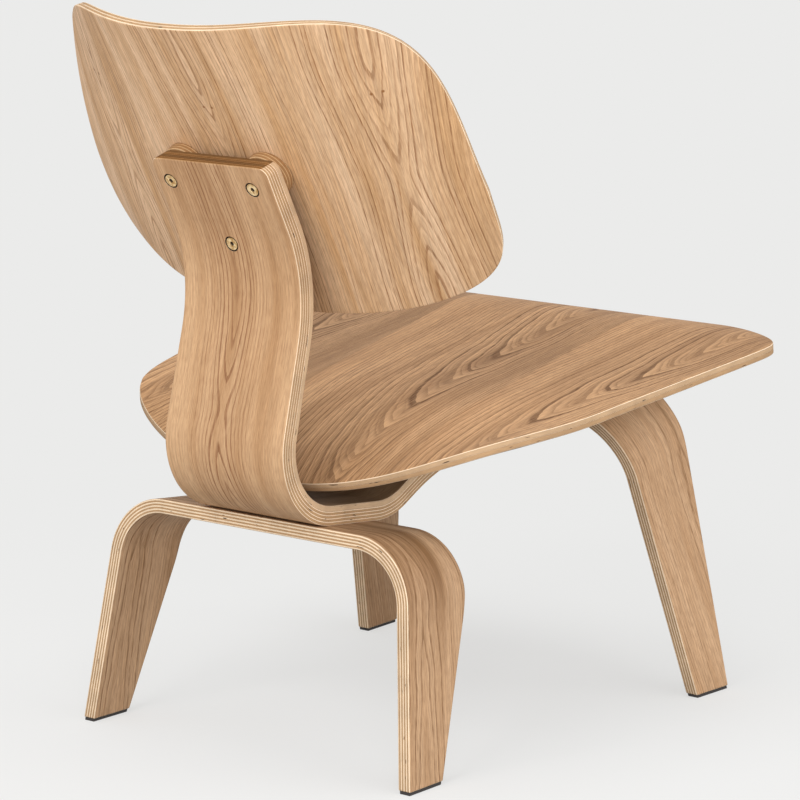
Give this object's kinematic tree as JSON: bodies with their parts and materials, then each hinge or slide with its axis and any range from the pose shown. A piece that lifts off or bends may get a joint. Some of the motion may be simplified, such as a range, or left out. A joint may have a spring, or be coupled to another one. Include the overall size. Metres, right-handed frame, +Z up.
{
  "type": "molded plywood lounge chair",
  "caption": "Low plywood lounge chair: a dished seat and a dished back on a bent spine that joins two bent leg pairs.",
  "frame": {"origin": "on the floor, under the middle of the chair's overall box", "axes": "+Z up, the sitter faces -Y, +X is the sitter's left"},
  "size_m": [0.5582, 0.6166, 0.669],
  "materials": {
    "back_veneer": "clear satin lacquer over face veneer, grain upright",
    "seat_veneer": "clear satin lacquer over face veneer, grain front to back",
    "spine_veneer": "clear satin lacquer over face veneer, layered edges bare to view",
    "leg_veneer": "clear satin lacquer over face veneer, layered edges bare to view",
    "spacer_wood": "turned pale hardwood, satin",
    "bolt_zinc": "yellow zinc plate",
    "insert_brass": "turned",
    "glide_pad": "hard dark pad",
    "nail_steel": "plain"
  },
  "bodies": {
    "root": {"back_panel": "back_veneer", "seat_panel": "seat_veneer", "spine": "spine_veneer", "rear_legs": "leg_veneer", "front_legs": "leg_veneer", "glide_nails": "nail_steel", "back_spacer_left": "spacer_wood", "back_insert_left": "insert_brass", "back_bolt_left": "bolt_zinc", "back_spacer_right": "spacer_wood", "back_insert_right": "insert_brass", "back_bolt_right": "bolt_zinc", "back_spacer_lower": "spacer_wood", "back_insert_lower": "insert_brass", "back_bolt_lower": "bolt_zinc", "seat_spacer_front_left": "spacer_wood", "seat_insert_front_left": "insert_brass", "seat_bolt_front_left": "bolt_zinc", "glide_front_left": "glide_pad", "seat_spacer_front_right": "spacer_wood", "seat_insert_front_right": "insert_brass", "seat_bolt_front_right": "bolt_zinc", "glide_front_right": "glide_pad", "front_leg_bolts": "bolt_zinc", "front_leg_inserts": "insert_brass", "seat_spacer_rear_left": "spacer_wood", "seat_insert_rear_left": "insert_brass", "seat_bolt_rear_left": "bolt_zinc", "glide_rear_left": "glide_pad", "seat_spacer_rear_right": "spacer_wood", "seat_insert_rear_right": "insert_brass", "seat_bolt_rear_right": "bolt_zinc", "glide_rear_right": "glide_pad", "rear_leg_bolts": "bolt_zinc", "rear_leg_inserts": "insert_brass"}
  },
  "joints": []
}
